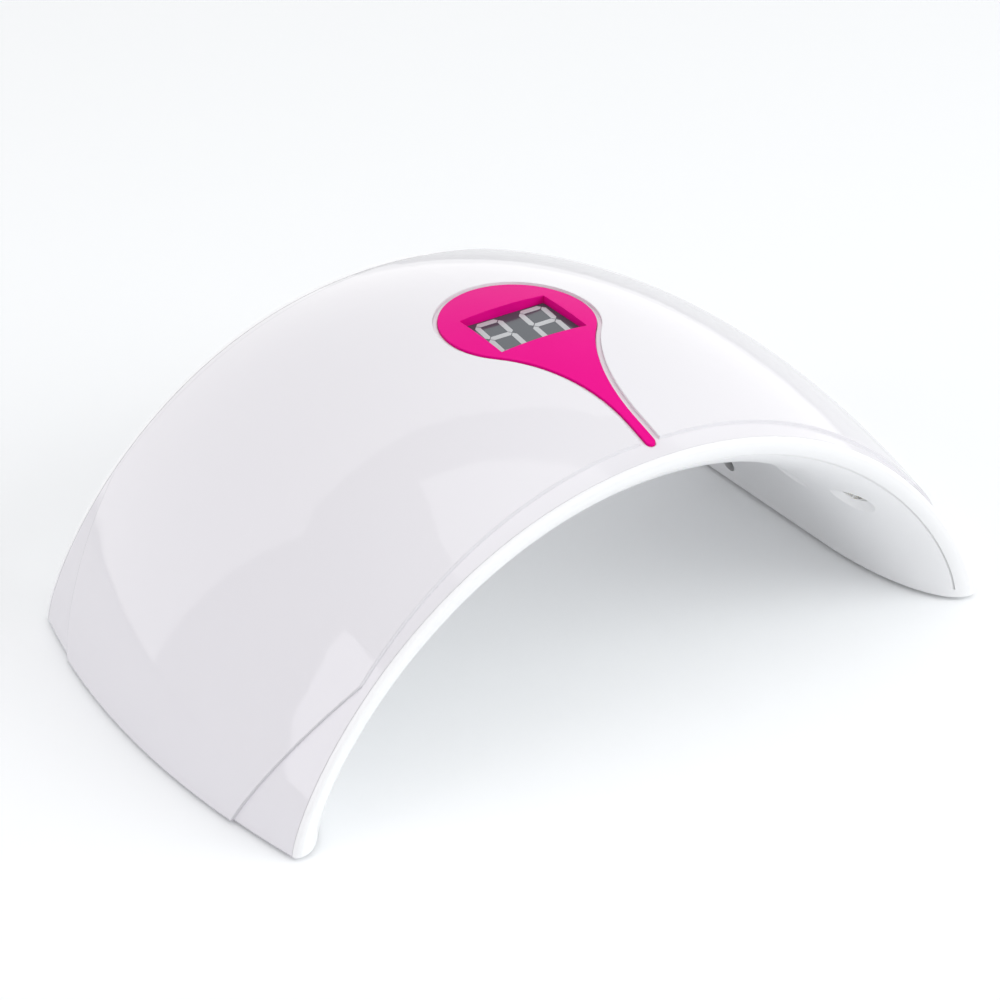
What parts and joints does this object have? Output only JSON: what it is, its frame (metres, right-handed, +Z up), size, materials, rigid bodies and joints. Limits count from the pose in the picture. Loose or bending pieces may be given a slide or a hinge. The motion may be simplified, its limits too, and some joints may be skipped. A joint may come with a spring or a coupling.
{
  "type": "uv led nail lamp",
  "caption": "Arched table-top lamp with a hand tunnel lined with ultraviolet beads, a two-digit display in a coloured bezel and timer buttons at the rear.",
  "frame": {"origin": "centre of the bounding box, on the surface that the rubber feet stand on", "axes": "+Z up, -Y the side that the hand goes in, +X to the right seen from that side"},
  "size_m": [0.2176, 0.124, 0.0836],
  "materials": {
    "cover": "moulded white ABS, high gloss",
    "liner": "moulded white ABS, semi-gloss",
    "bezel": "magenta, fine satin texture",
    "display_case": "dark blue-grey face",
    "display_bars": "unlit cast bars, light grey",
    "contacts": "tinned",
    "black_plastic": "moulded black",
    "circuit_board": "green solder mask",
    "connector": "natural nylon",
    "capacitor_can": "drawn can",
    "buttons": "moulded white ABS, high gloss",
    "bead_board": "aluminium-core board, white mask",
    "bead_case": "white bead case",
    "phosphor": "yellow",
    "lens": "clear silicone dome",
    "emitter": "tinted clear epoxy",
    "receiver": "black epoxy",
    "screws": "zinc plated",
    "feet": "soft clear-grey pads"
  },
  "bodies": {
    "housing": {"outer_cover": "cover", "inner_liner": "liner", "display_bezel": "bezel", "display_module": "display_case", "display_segments": "display_bars", "display_pins": "contacts", "display_sockets": "black_plastic", "control_board": "circuit_board", "controller_chip": "black_plastic", "power_coil": "black_plastic", "lead_connector": "connector", "storage_capacitor": "capacitor_can", "power_socket": "black_plastic", "power_socket_pin": "contacts", "tact_switch_left": "black_plastic", "tact_switch_right": "black_plastic", "bead_boards": "bead_board", "bead_cases": "bead_case", "bead_phosphors": "phosphor", "bead_lenses": "lens", "infrared_emitter": "emitter", "infrared_receiver": "receiver", "infrared_leads": "contacts", "board_screws": "screws", "cover_screws": "screws", "rubber_feet": "feet"},
    "button_left": {"timer_button_left": "buttons", "switch_plunger_left": "black_plastic"},
    "button_right": {"timer_button_right": "buttons", "switch_plunger_right": "black_plastic"}
  },
  "joints": [
    {"name": "timer_button_left_press", "type": "slide", "parent": "housing", "child": "button_left", "axis": [0, -1, 0], "range_m": [0, 0.00035], "stiffness_N_per_m": 5000},
    {"name": "timer_button_right_press", "type": "slide", "parent": "housing", "child": "button_right", "axis": [0, -1, 0], "range_m": [0, 0.00035], "stiffness_N_per_m": 5000}
  ]
}
